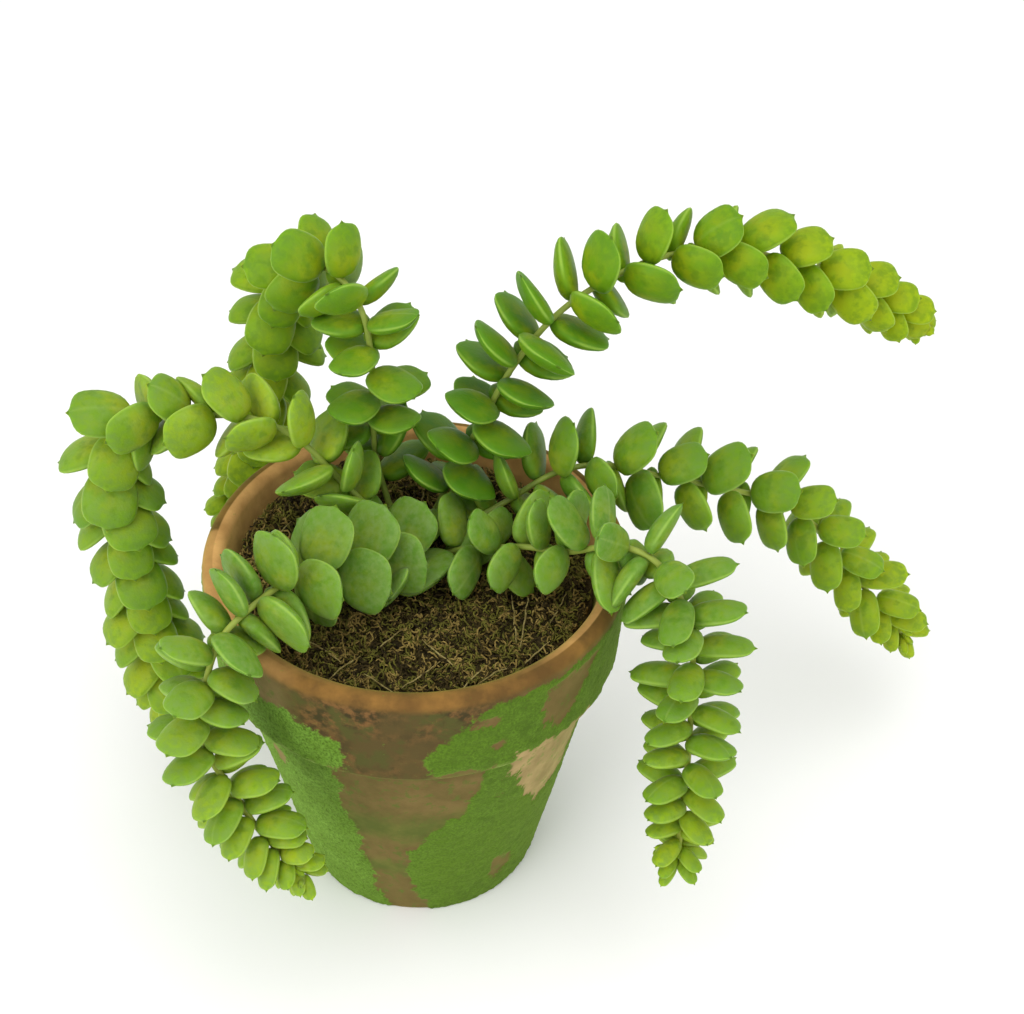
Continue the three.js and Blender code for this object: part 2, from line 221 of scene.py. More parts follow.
def make_pot_mesh():
    lip, edge = LIP_ROUND, EDGE_ROUND
    body = [(BASE_RADIUS, edge), (BODY_TOP_RADIUS, COLLAR_FOOT), (COLLAR_FOOT_RADIUS - edge, COLLAR_FOOT)]
    collar = [(COLLAR_FOOT_RADIUS, COLLAR_FOOT + edge), (RIM_RADIUS, POT_HEIGHT - lip)]
    bore = [(BORE_TOP_RADIUS, POT_HEIGHT - lip), (BORE_FLOOR_RADIUS, POT_FLOOR), (DRAIN_RADIUS, POT_FLOOR)]
    underside = [(DRAIN_RADIUS, POT_FLOOR), (DRAIN_RADIUS, 0), (BASE_RADIUS - edge, 0)]
    outline = corner(BASE_RADIUS - edge, edge, edge, -90, 0, 4)
    outline += filled_in(body, WALL_STEP)[1:]
    outline += corner(COLLAR_FOOT_RADIUS - edge, COLLAR_FOOT + edge, edge, -90, 0, 4)[1:]
    outline += filled_in(collar, WALL_STEP)[1:]
    outline += corner(RIM_RADIUS - lip, POT_HEIGHT - lip, lip, 0, 90, 7)[1:]
    outline += corner(BORE_TOP_RADIUS + lip, POT_HEIGHT - lip, lip, 90, 180, 7)
    outline += filled_in(bore, INNER_STEP)[1:]
    outline += filled_in(underside, INNER_STEP)[1:-1]
    bm = bmesh.new()
    spin_round(bm, outline, POT_SIDES, closed=True)
    layers = {name: bm.verts.layers.float.new(name)
              for name in ("moss", "damp", "dust_and_painted_light", "film", "edge_highlight", "lip")}
    for vert in bm.verts:
        out = Vector((vert.co.x, vert.co.y, 0))
        share = (vert.co.z - POT_FLOOR) / (POT_HEIGHT - POT_FLOOR)
        bore_radius = BORE_FLOOR_RADIUS + (BORE_TOP_RADIUS - BORE_FLOOR_RADIUS) * share
        uneven = 0.12 * noise.noise(vert.co * 0.11)
        vert[layers["lip"]] = 1
        # Inside the pot, the bore is painted paler from the sides round to the back: painted light on the inner
        # wall.
        vert[layers["dust_and_painted_light"]] = smooth_step(-46, -20, vert.co.y)
        if out.length > bore_radius + POT_WALL / 2 and vert.co.z > EDGE_ROUND / 10:
            for name, share in zip(("moss", "damp", "dust_and_painted_light", "film", "edge_highlight"), weathering(vert.co)):
                vert[layers[name]] = share
            vert[layers["lip"]] = smooth_step(-3.4, -1.2, vert.co.z - POT_HEIGHT)
            uneven += MOSS_COAT * vert[layers["moss"]] * (0.7 + 0.6 * noise.noise(vert.co * 0.9))
        vert.co += out.normalized() * uneven
    return bm


def terracotta_with_moss():
    """Low-fired clay is dull, orange-brown and mottled. The moss is a short, dense coat, soft to look at."""
    material, tree = new_material("terracotta_with_moss")
    place = add_node(tree, "ShaderNodeTexCoord").outputs["Object"]

    def cloud(size_mm, detail=3):
        """Clouds of noise whose patches are about this size."""
        inputs = {"Vector": place, "Scale": 1 / (2 * size_mm * MM), "Detail": detail, "Roughness": 0.6}
        return add_node(tree, "ShaderNodeTexNoise", inputs).outputs["Fac"]

    def share_of(value, low, high):
        inputs = {"Value": value, "From Min": low, "From Max": high}
        return add_node(tree, "ShaderNodeMapRange", inputs).outputs["Result"]

    def blend(factor, first, second):
        inputs = {0: factor, 6: first, 7: second}
        return add_node(tree, "ShaderNodeMix", inputs, data_type="RGBA").outputs[2]

    moss, damp, dust_and_painted_light, film, edge_highlight, lip = (
        add_node(tree, "ShaderNodeAttribute", attribute_name=name).outputs["Fac"]
        for name in ("moss", "damp", "dust_and_painted_light", "film", "edge_highlight", "lip"))
    patches, mottle, speckle, grain = cloud(11), cloud(3.2, 5), cloud(1.2), cloud(0.3)
    dry = blend(share_of(mottle, 0.35, 0.65), linear("#5b452a"), linear("#6d5335"))
    dry = blend(share_of(speckle, 0.54, 0.66), dry, linear("#525626"))
    stained = blend(share_of(mottle, 0.4, 0.6), linear("#4c5024"), linear("#5e5b2c"))
    dry = blend(film, dry, stained)
    pale = blend(share_of(mottle, 0.35, 0.65), linear("#8b6f50"), linear("#aa8d66"))
    pale = blend(share_of(speckle, 0.56, 0.68), pale, linear("#7c8048"))
    wet = blend(share_of(speckle, 0.42, 0.6), linear("#33211a"), linear("#704a2e"))
    wet = blend(share_of(patches, 0.44, 0.62), wet, linear("#4d3a24"))
    wet = blend(share_of(mottle, 0.53, 0.64), wet, linear("#464022"))
    fired = blend(share_of(mottle, 0.35, 0.65), linear("#614624"), linear("#85602f"))
    fired = blend(share_of(patches, 0.5, 0.75), fired, linear("#563d20"))
    # The pale fired tone is dusty clay on the outside of the lip, and painted light on the pot's inner wall.
    fired = blend(dust_and_painted_light, fired, blend(share_of(mottle, 0.3, 0.7), linear("#b3854f"), linear("#d6a566")))
    clay = blend(lip, blend(damp, blend(dust_and_painted_light, dry, pale), wet), fired)
    green = blend(share_of(speckle, 0.35, 0.65), linear("#3a5414"), linear("#547520"))
    green = blend(share_of(patches, 0.35, 0.7), green, linear("#4e6c18"))
    # The moss is lighter and yellower towards the left side.
    across = add_node(tree, "ShaderNodeSeparateXYZ", {"Vector": place}).outputs["X"]
    lighter_to_the_left = share_of(across, POT_PLACE.x + 5 * MM, POT_PLACE.x - 35 * MM)
    green = blend(lighter_to_the_left, green, blend(share_of(mottle, 0.35, 0.65), linear("#5f8429"), linear("#76a03e")))
    green = blend(share_of(grain, 0.3, 0.6), linear("#3c5414"), green)
    ragged = add_node(tree, "ShaderNodeMath", {0: grain, 1: moss}, operation="ADD").outputs["Value"]
    ragged = add_node(tree, "ShaderNodeMath", {0: speckle, 1: ragged}, operation="ADD").outputs["Value"]
    cover = share_of(ragged, 1.28, 1.68)
    # The moss along the collar's lower edge is paler there: a painted highlight.
    painted_highlight = add_node(tree, "ShaderNodeMapRange", {"Value": edge_highlight, "To Max": 0.5}).outputs["Result"]
    coat = blend(cover, clay, blend(painted_highlight, green, linear("#8f9c58")))
    pile = add_node(tree, "ShaderNodeMapRange", {"Value": cover, "To Min": 0.15}).outputs["Result"]
    height = add_node(tree, "ShaderNodeMath", {0: grain, 1: pile}, operation="MULTIPLY").outputs["Value"]
    bump = add_node(tree, "ShaderNodeBump", {"Height": height, "Strength": 0.35, "Distance": 0.4 * MM})
    surface = add_node(tree, "ShaderNodeBsdfPrincipled", {
        "Base Color": coat, "Roughness": 0.92, "Specular IOR Level": 0.1,
        "Sheen Weight": 0.3, "Sheen Roughness": 0.5, "Sheen Tint": linear("#b4d45c"),
        "Normal": bump.outputs["Normal"],
    })
    add_node(tree, "ShaderNodeOutputMaterial", {"Surface": surface.outputs["BSDF"]})
    return material


pot = finish_piece("mossy_pot", make_pot_mesh(), terracotta_with_moss())
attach(pot, "root")
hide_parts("pot")

# The potting mix
# Dark peaty mix that fills the pot and holds the stems. Only crumbs of it show through the moss.


def potting_mix():
    """Damp peat and bark: nearly black, with brown crumbs a millimetre or two wide."""
    material, tree = new_material("potting_mix")
    place = add_node(tree, "ShaderNodeTexCoord").outputs["Object"]
    crumbs = add_node(tree, "ShaderNodeTexVoronoi", {"Vector": place, "Scale": 1 / (1.6 * MM)})
    fine = add_node(tree, "ShaderNodeTexNoise", {"Vector": place, "Scale": 1 / (1.2 * MM), "Detail": 4})
    tone = add_node(tree, "ShaderNodeMix", {0: fine.outputs["Fac"], 6: linear("#1d150d"),
                                            7: linear("#4a3422")}, data_type="RGBA")
    bump = add_node(tree, "ShaderNodeBump", {"Height": crumbs.outputs["Distance"], "Strength": 0.8,
                                             "Distance": 0.6 * MM})
    surface = add_node(tree, "ShaderNodeBsdfPrincipled", {
        "Base Color": tone.outputs[2], "Roughness": 0.95, "Specular IOR Level": 0.3,
        "Normal": bump.outputs["Normal"],
    })
    add_node(tree, "ShaderNodeOutputMaterial", {"Surface": surface.outputs["BSDF"]})
    return material


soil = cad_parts["potting_mix"]
soil.data.materials.clear()
soil.data.materials.append(potting_mix())

# The moss topping
# A layer of dried moss laid over the potting mix and packed by hand against the pot's wall. It is
# a felted bed of crumbs with loose, crinkled fibres, a few straws and a dead rootlet on top.

MOSS_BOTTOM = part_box("moss_topping")[0][2] / MM
MOSS_EDGE_HEIGHT = 88.4
MOSS_MOUND = 2  # how much higher the middle is
MOSS_HEAP = 4.5  # and how much higher the moss lies against the wall at the left and the back
MOSS_RADIUS = (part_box("moss_topping")[1][0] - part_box("moss_topping")[0][0]) / 2 / MM
MOSS_SIDES = 200
MOSS_RING = 1  # width of one ring of faces


def moss_height(x, y):
    """The height of the moss: heaped in the middle and against the wall at the left, in soft lumps."""
    out = min(1, math.hypot(x, y) / BORE_TOP_RADIUS)
    lumps = math.sin(x * 0.21 + 1.3) * math.cos(y * 0.26 - 0.4) + 0.5 * math.sin((x - y) * 0.37)
    heap = MOSS_HEAP * smooth_step(8, 36, 0.6 * y - 0.8 * x)
    return MOSS_EDGE_HEIGHT + MOSS_MOUND * (1 - out * out) + 0.8 * lumps + heap


def crumbled(x, y):
    """How far the crumbs stand above or below the moss's even height."""
    point = Vector((x, y, 0))
    return 0.9 * noise.noise(point * 0.3) + 1.0 * noise.noise(point * 0.7) + 0.5 * noise.noise(point * 1.6)


def make_moss_bed():
    rings = round(MOSS_RADIUS / MOSS_RING)
    outline = [(0, MOSS_BOTTOM), (MOSS_RADIUS, MOSS_BOTTOM)]
    outline += [(MOSS_RADIUS * i / rings, MOSS_EDGE_HEIGHT) for i in range(rings, -1, -1)]
    bm = bmesh.new()
    spin_round(bm, outline, MOSS_SIDES, closed=False)
    for vert in bm.verts:
        if vert.co.z > MOSS_BOTTOM + 1:
            vert.co.z = moss_height(vert.co.x, vert.co.y) + crumbled(vert.co.x, vert.co.y) - 0.6
    return bm


def dried_moss(name, shadow, light):
    """Dried moss: matt, brown to olive, its colour changing from one tuft to the next."""
    material, tree = new_material(name)
    place = add_node(tree, "ShaderNodeTexCoord").outputs["Object"]
    tufts = add_node(tree, "ShaderNodeTexNoise", {"Vector": place, "Scale": 1 / (6 * MM), "Detail": 4})
    strands = add_node(tree, "ShaderNodeTexNoise", {"Vector": place, "Scale": 1 / (0.8 * MM), "Detail": 2})
    both = add_node(tree, "ShaderNodeMath", {0: tufts.outputs["Fac"], 1: strands.outputs["Fac"]},
                    operation="ADD")
    share = add_node(tree, "ShaderNodeMapRange", {"Value": both.outputs["Value"], "From Min": 0.75,
                                                  "From Max": 1.25})
    tone = add_node(tree, "ShaderNodeMix", {0: share.outputs["Result"], 6: linear(shadow),
                                            7: linear(light)}, data_type="RGBA")
    bump = add_node(tree, "ShaderNodeBump", {"Height": strands.outputs["Fac"], "Strength": 0.7,
                                             "Distance": 0.4 * MM})
    surface = add_node(tree, "ShaderNodeBsdfPrincipled", {
        "Base Color": tone.outputs[2], "Roughness": 0.95, "Specular IOR Level": 0.2,
        "Normal": bump.outputs["Normal"],
    })
    add_node(tree, "ShaderNodeOutputMaterial", {"Surface": surface.outputs["BSDF"]})
    return material


moss_bed = finish_piece("moss_bed", make_moss_bed(), dried_moss("felted_moss", "#1d170a", "#4a3f1e"))
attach(moss_bed, "root")
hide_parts("moss_topping")

FIBRE_RADIUS = 0.26
FIBRE_STEP = 0.5
FIBRE_POINTS = 7
WALL_GAP = 0.5  # kept between a fibre and the pot's wall
MOSS_TUFT_WIDTH = 3.6  # from one tuft of fibres to the hollow beside it
MOSS_TUFT_HEIGHT = 1.8
STRAW_RADIUS = 0.22
STRAW_STEP = 1.6


def strand_piece(name, strands, radius, material):
    """Round strands as one mesh, each along its own list of points and thinner towards its ends."""
    curve = bpy.data.curves.new(name, "CURVE")
    curve.dimensions = "3D"
    curve.bevel_depth = radius * MM
    curve.bevel_resolution = 0
    curve.use_fill_caps = True
    for strand in strands:
        spline = curve.splines.new("POLY")
        spline.points.add(len(strand) - 1)
        for i, (point, place) in enumerate(zip(spline.points, strand)):
            point.co = (*(place * MM + POT_PLACE), 1)
            point.radius = 0.55 + 0.45 * math.sin(math.pi * i / (len(strand) - 1))
    drawn = bpy.data.objects.new(name + "_lines", curve)
    mesh = bpy.data.meshes.new_from_object(drawn)
    mesh.name = name
    mesh.materials.clear()
    mesh.materials.append(material)
    mesh.shade_smooth()
    bpy.data.objects.remove(drawn)
    piece = bpy.data.objects.new(name, mesh)
    bpy.context.collection.objects.link(piece)
    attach(piece, "root")
    return piece


def tuftiness(x, y, seed):
    """Positive where fibres of one kind stand in a tuft, negative in the hollows between."""
    return noise.noise(Vector((x / MOSS_TUFT_WIDTH, y / MOSS_TUFT_WIDTH, seed)))


def crinkled_fibre(draw, seed):
    """A short curly fibre in a tuft of the moss bed, kept inside the pot's wall."""
    reach = MOSS_RADIUS - WALL_GAP
    x, y = reach, reach
    while math.hypot(x, y) > reach or tuftiness(x, y, seed) < draw.uniform(-0.35, 0.25):
        x, y = draw.uniform(-reach, reach), draw.uniform(-reach, reach)
    heading = draw.uniform(0, 2 * math.pi)
    curl = draw.uniform(-1.1, 1.1)
    lift = draw.uniform(-0.7, 0.5) + MOSS_TUFT_HEIGHT * tuftiness(x, y, seed)
    points = []
    for _ in range(FIBRE_POINTS):
        out = math.hypot(x, y)
        if out > reach:
            x, y = x * reach / out, y * reach / out
        lift += draw.uniform(-0.6, 0.6)
        lift = min(1.7, max(-1, lift))
        points.append(Vector((x, y, moss_height(x, y) + 0.8 * crumbled(x, y) + lift)))
        heading += curl + draw.uniform(-1, 1)
        x += FIBRE_STEP * math.cos(heading)
        y += FIBRE_STEP * math.sin(heading)
    return points


FIBRES = [
    ("dark_moss_fibres", 2400, 3, "#20190b", "#463a1a"),
    ("olive_moss_fibres", 3400, 5, "#433f16", "#736f2c"),
    ("tan_moss_fibres", 2800, 7, "#5c4d21", "#998348"),
]
for name, count, seed, shadow, light in FIBRES:
    draw = random.Random(seed)
    strands = [crinkled_fibre(draw, seed) for _ in range(count)]
    strand_piece(name, strands, FIBRE_RADIUS, dried_moss(name, shadow, light))

# Straws and a dead rootlet that lie on the moss: [x and y of one end, x and y of the other]
STRAWS = [
    (26.6, -6.6, 23.1, -27), (22.2, -9.1, 22.4, -24), (6, 43, -0.3, 16), (-4, -37, 5, -30),
    (-12, -34, -5, -39), (13, -37, 20, -33), (30, -20, 35, -8), (-26, -22, -17, -29), (1, -24, 9, -33),
    (-35, 4, -30, 15), (24, -31, 30, -25), (-20, -34, -13, -27), (8, -40, 14, -33), (-3, -20, -10, -26),
]
draw = random.Random(9)
straws = []
for x0, y0, x1, y1 in STRAWS:
    count = round(math.hypot(x1 - x0, y1 - y0) / STRAW_STEP)
    straw = []
    for i in range(count + 1):
        x = x0 + (x1 - x0) * i / count + draw.uniform(-0.2, 0.2)
        y = y0 + (y1 - y0) * i / count + draw.uniform(-0.2, 0.2)
        straw.append(Vector((x, y, moss_height(x, y) + 1.2 + 0.4 * math.sin(math.pi * i / count))))
    straws.append(straw)
strand_piece("straws_on_moss", straws, STRAW_RADIUS, dried_moss("dead_straw", "#6f6136", "#a3965e"))

# The leafy stems
# Six trailing stems with thick waxy leaves in pairs, each pair crosswise to the last. They grow up
# out of the moss, arch over the rim under the leaves' weight and hang, youngest leaves outermost.

STEM_RADIUS = 1.25
STEM_TAPER = 0.98  # each ring is this share of the one before, until the stem is at its thinnest
STEM_LEAST_RADIUS = 0.8
STEM_SIDES = 8
FOOT_HEIGHTS = (62, 77, 91.5)  # the stem's straight foot, in the potting mix and the moss
LINE_STEP = 0.25
FIRST_LEAF = 30.8  # distance along the stem
LEAF_LENGTH = 13.4
LEAF_WIDTH = 11.2
LEAF_THICKNESS = 4.8
LEAF_BEND = 0.06
LEAF_ROOT_OUT = 0.6  # from the stem's middle
TUFT_LEAVES = 15  # small pointed leaves round a stem's tip
TUFT_WIDTH = 0.62  # how wide these are beside the others
GOLDEN_ANGLE = 137.5
LEAF_GAP = 0.4  # kept between a leaf and every other stem, the pot and the moss

# `route` gives [out, up, aside]: how far the stem has gone along its heading, in degrees from +X,
# how high it is, and how far it has swung to the left. The other lists hold values at even shares
# of the stem, from its first leaf to its tip: `open` is the angle between leaf and stem, `roll` the
# turn of the leaf pairs about it, `gap` the way from one pair to the next, `size` how large the
# leaves are and `wide` how much wider than usual. The ages tell their colour: 0 is lime, 1 is green;
# on some stems they also hold painted shade, higher where the leaves lie in shade, and painted
# light, lower where they are lit. `bloom` is how dusty the first leaves are, up to `bare` the stem
# has lost its leaves, and `bud` is the angle to which the leaves close at the tip.
STEMS = [
    dict(name="stem_front_left", heading=226, start=(-2, 2), seed=11, bloom=0.4, bare=0, bud=45,
         open=(98, 104, 96, 88, 72), roll=(75, 99, 82, 119, 129), gap=(7, 6.4, 4.5, 3.5, 2),
         size=(1.16, 1.12, 0.97, 0.88, 0.86), wide=(1.2, 1.16, 0.94, 0.9, 0.72),
         age_and_shade=(0.95, 1, 0.85, 0.5, 0.25),
         route=[(4, 97, 0), (14, 101, 0), (25, 107, 0), (37, 112, 0), (49, 112, 0), (58, 107, -1),
                (64, 92, -1.3), (65.8, 80.5, 1), (64.5, 71, 6), (62.3, 58.5, 12.5), (58, 47, 21)]),
    dict(name="stem_front_right", heading=-30, start=(5.5, 2), seed=23, bloom=0.34, bare=0, bud=65,
         open=(86, 92, 94, 98, 100), roll=(79, 82, 18, -22, -27), gap=(6.4, 5.8, 4.2, 3.9, 2.4),
         size=(1, 1.02, 1.04, 1, 0.94), wide=(0.84, 0.76, 0.7, 0.68, 0.58),
         age_and_shade=(0.85, 1, 0.9, 0.55, 0.25),
         route=[(4, 97, 0), (12, 101, 0), (22, 106, 0), (33, 109, 0), (45, 116, 0), (55, 115, 0),
                (62, 105, 0), (66, 93, -2), (68, 80, -5), (70, 66, -9), (71.5, 50, -13), (72.6, 38.5, -16.7)]),
    dict(name="stem_left", heading=182, start=(-5, 8), seed=37, bloom=0.25, bare=0, bud=26,
         open=(74, 52, 60, 54, 50), roll=(128, 97, 93, 106, 104), gap=(7, 7.6, 5, 4.6, 4),
         # its ages dip at the arch and rise below it: painted light on the arch, painted shade under it
         size=(1, 1.02, 1, 0.98, 0.92), wide=(1, 1, 1.06, 1.04, 1), age_and_shade=(0.9, 0.3, 0.75, 0.45, 0.05),
         route=[(3, 100, 0), (12.1, 112.4, -0.8), (21.4, 123.5, -3.1), (32.8, 128.1, -6.2),
                (45.3, 126, -10.1), (54.7, 126.2, -12.4), (61.9, 120, -14), (65.9, 107, -14),
                (64.9, 86, -13.3), (61.9, 57.6, -12.8), (56.6, 13.7, -12)]),
    dict(name="stem_right", heading=12, start=(8, 8), seed=41, bloom=0.2, bare=0, bud=32,
         open=(80, 72, 66, 76, 66), roll=(72, 80, 45, 45, 50), gap=(6.4, 6.6, 6.6, 6.2, 4.4),
         size=(0.98, 1.02, 1.02, 0.96, 0.9), wide=(1, 1.02, 0.96, 0.78, 0.74), age_and_shade=(1.1, 0.9, 0.7, 0.3, -0.1),
         route=[(4, 97, 0), (15, 103, 0), (26, 109, 0), (38, 109, 0), (54, 102, 0), (70, 95, 0),
                (86, 87, 0), (98, 75, 0), (110, 57, 0), (121, 41, 0), (130.5, 28, 0)]),
    dict(name="stem_back_right", heading=20, start=(3, 14), seed=53, bloom=0.05, bare=38, bud=26,
         open=(88, 88, 58, 56, 48), roll=(-15, -6, -7, -25, -32), gap=(6.4, 6.2, 6.4, 6, 4.6),
         # its first ages lie past 1: painted shade, deeper green on its first leaves, which lie in shade
         size=(1.04, 1.06, 1.02, 0.96, 0.88), wide=(1.1, 1.1, 1.06, 1, 1), age_and_shade=(1.45, 1.3, 0.65, 0.35, 0),
         route=[(3, 99, 0), (8, 110, 0), (14, 122, -1), (20, 135, -2), (30, 148, -3), (43, 155, -3),
                (59, 158, -3), (77, 155, -3), (97, 145, -3), (117, 132, -3), (133, 119.5, -3)]),
    dict(name="stem_back_left", heading=130, start=(-4, 14), seed=67, bloom=0.1, bare=42, bud=26,
         open=(88, 90, 60, 50, 46), roll=(76, 83, 40, 47, 37), gap=(6.6, 6, 5.4, 5, 4.4),
         size=(1, 0.98, 0.98, 0.96, 0.9), wide=(0.92, 0.95, 0.98, 0.98, 0.98), age_and_shade=(1.15, 0.9, 0.65, 0.35, 0.1),
         route=[(4, 99, 0), (8, 111, 0), (8, 125, 0), (8, 139, 0), (11, 151, 0), (21, 156, 0),
                (34, 150, 0), (44, 134, 0), (48, 110, 0), (54, 84, 3), (60, 60, 10)]),
]


def stem_line(stem):
    """The stem's middle line, as its place and direction at every LINE_STEP."""
    angle = math.radians(stem["heading"])
    ahead = Vector((math.cos(angle), math.sin(angle), 0))
    left = Vector((-math.sin(angle), math.cos(angle), 0))
    foot = Vector((*stem["start"], 0))
    knots = [foot + Vector((0, 0, height)) for height in FOOT_HEIGHTS]
    knots += [foot + ahead * out + left * aside + Vector((0, 0, up)) for out, up, aside in stem["route"]]
    knots = [2 * knots[0] - knots[1]] + knots + [2 * knots[-1] - knots[-2]]
    splits = 80
    fine = []
    for a, b, c, d in zip(knots, knots[1:], knots[2:], knots[3:]):
        for i in range(splits):
            t = i / splits
            bend = (2 * a - 5 * b + 4 * c - d) * t * t + (3 * b - a - 3 * c + d) * t ** 3
            fine.append((2 * b + (c - a) * t + bend) / 2)
    places = [fine[0]]
    left_over = LINE_STEP
    for start, end in zip(fine, fine[1:]):
        step = (end - start).length
        while left_over <= step:
            places.append(start.lerp(end, left_over / step))
            left_over += LINE_STEP
        left_over -= step
    ways = [(after - before).normalized() for before, after in zip(places, places[2:])]
    return list(zip(places[1:-1], ways))


def along_stem(values, share):
    """The value at a share of the stem's length, from a list at even shares."""
    place = share * (len(values) - 1)
    before = min(len(values) - 2, int(place))
    return values[before] + (values[before + 1] - values[before]) * (place - before)


def tip_size(share):
    """How much smaller the young leaves near a stem's tip are."""
    tip = max(0, (share - 0.8) / 0.2)
    return 1 - 0.5 * tip * tip


def leaf_opening(stem, share):
    """The angle between leaf and stem in degrees: it closes towards the bud at the tip."""
    tip = max(0, (share - 0.9) / 0.1)
    return along_stem(stem["open"], share) * (1 - tip * tip) + stem["bud"] * tip * tip


def leaf_at(stem, distance, around, opening, size):
    """A leaf's place, the way its length, width and face point, and its size."""
    turn, lean, heading = (math.radians(angle) for angle in (around, opening, stem["heading"]))
    station = min(len(stem["line"]) - 1, round(distance / LINE_STEP))
    place, along = stem["line"][station]
    share = max(0, station * LINE_STEP - FIRST_LEAF) / (len(stem["line"]) * LINE_STEP - FIRST_LEAF)
    left = Vector((-math.sin(heading), math.cos(heading), 0))
    left = (left - along * left.dot(along)).normalized()
    out = along.cross(left) * math.cos(turn) + left * math.sin(turn)
    return dict(
        base=place + out * LEAF_ROOT_OUT,
        forward=along * math.cos(lean) + out * math.sin(lean),
        side=along.cross(out),
        face=along * math.sin(lean) - out * math.cos(lean),
        length=LEAF_LENGTH * size,
        width=LEAF_WIDTH * size * along_stem(stem["wide"], share),
        thickness=LEAF_THICKNESS * (0.3 + 0.7 * size),
        age_and_shade=along_stem(stem["age_and_shade"], share),
        bloom=stem["bloom"] * (1 - 0.5 * share),
    )


def leaf_point(leaf, along, across, through):
    """A point of a leaf, by its shares of the length and of half the width and thickness."""
    bend = LEAF_BEND * leaf["length"] * along * along
    return (leaf["base"] + leaf["forward"] * along * leaf["length"]
            + leaf["side"] * across * leaf["width"] / 2
            + leaf["face"] * (through * leaf["thickness"] / 2 + bend))


# Balls that fill a leaf, as [share of its length, of its half width, radius as share of thickness]
LEAF_BEADS = [
    (0.26, -0.4, 0.4), (0.26, 0.4, 0.4), (0.52, -0.56, 0.46), (0.52, 0, 0.5), (0.52, 0.56, 0.46),
    (0.78, -0.5, 0.4), (0.78, 0, 0.46), (0.78, 0.5, 0.4), (0.95, 0, 0.26),
]


def beads_of(leaf):
    return [(leaf_point(leaf, along, across, 0), radius * leaf["thickness"])
            for along, across, radius in LEAF_BEADS]


def clear_of_pot(place, radius):
    """Whether a ball is clear of the pot, the moss and the ground."""
    gap = radius + LEAF_GAP
    out = math.hypot(place.x, place.y)
    if place.z > POT_HEIGHT + gap:
        return True
    if place.z < gap:
        return False
    height = min(place.z + gap, POT_HEIGHT)
    if height > COLLAR_FOOT:
        share = (height - COLLAR_FOOT) / (POT_HEIGHT - COLLAR_FOOT)
        pot_radius = COLLAR_FOOT_RADIUS + (RIM_RADIUS - COLLAR_FOOT_RADIUS) * share
    else:
        pot_radius = BASE_RADIUS + (BODY_TOP_RADIUS - BASE_RADIUS) * height / COLLAR_FOOT
    if out > pot_radius + gap:
        return True
    return out < BORE_TOP_RADIUS - gap and place.z > moss_height(place.x, place.y) + gap


def clear_of_stems(beads, others):
    """Whether a leaf's balls are clear of all the balls in a tree of places and a list of radii."""
    tree, radii = others
    largest = max(radii)
    for place, radius in beads:
        for _, index, distance in tree.find_range(place, radius + largest + LEAF_GAP):
            if distance < radius + radii[index] + LEAF_GAP:
                return False
    return True


# Ways to turn, raise or shrink a leaf that would touch something, tried in this order
LEAF_SHIFTS = [(swing, lift, shrink) for shrink in (1, 0.85, 0.7) for lift in (0, -20, 20, -40)
               for swing in (0, 24, -24, 48, -48)]


def set_leaves(stem, others):
    """Sets a stem's leaves in crosswise pairs. One that can't be set clear of the rest is left out."""
    draw = random.Random(stem["seed"])
    length = len(stem["line"]) * LINE_STEP
    distance = FIRST_LEAF
    pair = 0
    leaves = []
    while distance < length:
        share = (distance - FIRST_LEAF) / (length - FIRST_LEAF)
        roll = along_stem(stem["roll"], share) + 90 * pair
        for side in (0, 180):
            size = along_stem(stem["size"], share) * tip_size(share) * draw.uniform(0.9, 1.08)
            around = roll + side + draw.uniform(-19, 19)
            opening = leaf_opening(stem, share) + draw.uniform(-11, 11)
            place = distance + draw.uniform(-0.7, 0.7)
            chance = draw.random()
            for swing, lift, shrink in LEAF_SHIFTS if distance > stem["bare"] else ():
                leaf = leaf_at(stem, place, around + swing, opening + lift, size * shrink)
                beads = beads_of(leaf)
                if all(clear_of_pot(*bead) for bead in beads) and clear_of_stems(beads, others):
                    leaves.append(dict(leaf, chance=chance))
                    break
        distance += along_stem(stem["gap"], share) * (0.1 + 0.9 * tip_size(share))
        pair += 1
    for bud in range(TUFT_LEAVES):
        size = draw.uniform(0.24, 0.44)
        leaf = leaf_at(stem, length - draw.uniform(0, 7), GOLDEN_ANGLE * bud,
                       stem["bud"] + draw.uniform(-6, 54), size)
        leaves.append(dict(leaf, width=leaf["width"] * TUFT_WIDTH, chance=draw.random()))
    return leaves


# A leaf is a ball drawn out ring by ring: [share of the length, of the half width, of the half
# thickness], from its neck to the small point at its end.
LEAF_RINGS = [
    (0, 0, 0), (0.04, 0.62, 0.7), (0.18, 0.98, 1.02), (0.4, 1.14, 1.12), (0.65, 1.15, 1.0),
    (0.85, 1.04, 0.72), (0.96, 0.7, 0.42), (0.985, 0.16, 0.16), (1.07, 0, 0),
]
LEAF_CORNERS = 8
INNER_FACE = 0.7  # the face towards the stem's tip is flatter than the outer one
OUTER_FACE = 1.25


